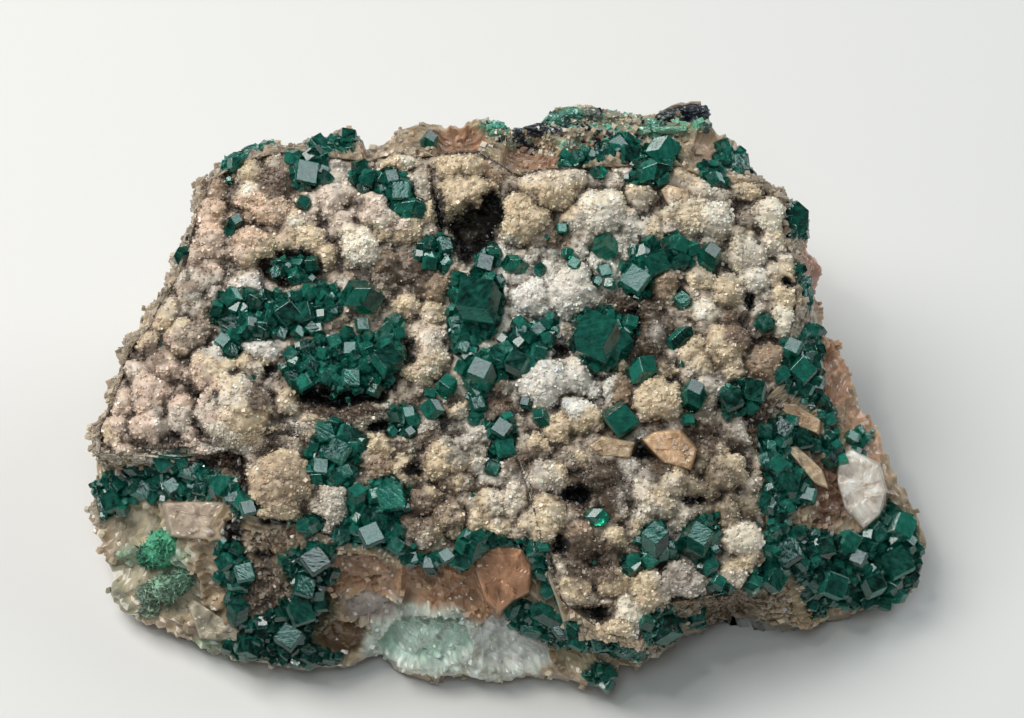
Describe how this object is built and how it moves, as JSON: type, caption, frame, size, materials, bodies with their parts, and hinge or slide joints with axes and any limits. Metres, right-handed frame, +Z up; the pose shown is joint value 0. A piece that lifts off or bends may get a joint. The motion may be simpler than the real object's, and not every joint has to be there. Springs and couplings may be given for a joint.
{
  "type": "dioptase mineral specimen",
  "caption": "Loose cabinet specimen: green dioptase crystals on a pale druse crust over a calcite block, resting on a flat broken underside.",
  "frame": {"origin": "middle of the bounding box on the flat underside", "axes": "+Z up, +X to the right of the picture and along the longest side, +Y away from the viewer, the displayed face towards -Y and up"},
  "size_m": [0.1532, 0.0988, 0.0569],
  "materials": {
    "calcite": "pink and white calcite, broken cleavage faces, slightly translucent",
    "druse": "pale cream crust of tiny sparkling crystals",
    "dioptase": "deep emerald-green clear crystal, glassy faces",
    "malachite": "fibrous pale green ball",
    "ore": "dark bluish ore with a dull metallic shine"
  },
  "bodies": {
    "root": {"dioptase_back_left": "dioptase", "dioptase_upper_row": "dioptase", "dioptase_upright": "dioptase", "dioptase_left_field": "dioptase", "dioptase_lying_prism": "dioptase", "dioptase_striped": "dioptase", "dioptase_lower_field": "dioptase", "dioptase_pointed": "dioptase", "dioptase_lying_small": "dioptase", "dioptase_end_on": "dioptase", "dioptase_bright_block": "dioptase", "dioptase_upright_right": "dioptase", "dioptase_great_crystal": "dioptase", "dioptase_middle_row": "dioptase", "dioptase_prism": "dioptase", "dioptase_pair": "dioptase", "dioptase_stacked": "dioptase", "dioptase_broad": "dioptase", "dioptase_right_small": "dioptase", "dioptase_tilted_short": "dioptase", "dioptase_tilted_long": "dioptase", "dioptase_striated": "dioptase", "dioptase_back_rim": "dioptase", "dioptase_back_peak": "dioptase", "dioptase_back_right": "dioptase", "dioptase_back_leaf": "dioptase", "dioptase_right_rim": "dioptase", "dioptase_right_steps": "dioptase", "dioptase_dark_pair": "dioptase", "dioptase_right_ladder": "dioptase", "dioptase_left_band": "dioptase", "dioptase_mid_left_nest": "dioptase", "dioptase_bright_square": "dioptase", "dioptase_lower_left": "dioptase", "dioptase_small_left": "dioptase", "dioptase_front_band": "dioptase", "dioptase_front_tooth": "dioptase", "dioptase_front_right": "dioptase", "dioptase_hub": "dioptase", "dioptase_hub_right": "dioptase", "dioptase_front_foot": "dioptase", "dioptase_right_mass": "dioptase", "dioptase_right_corner": "dioptase", "malachite_ball": "malachite", "calcite_wedge": "calcite", "calcite_lower_wedge": "calcite", "calcite_orange_block": "calcite", "calcite_white_crystal": "calcite", "calcite_lens": "calcite", "calcite_tan_slab": "calcite", "calcite_middle_flat": "calcite", "calcite_middle_cone": "calcite", "calcite_back_block": "calcite", "ore_lumps": "ore", "calcite_base": "calcite", "druse_crust": "druse"}
  },
  "joints": []
}
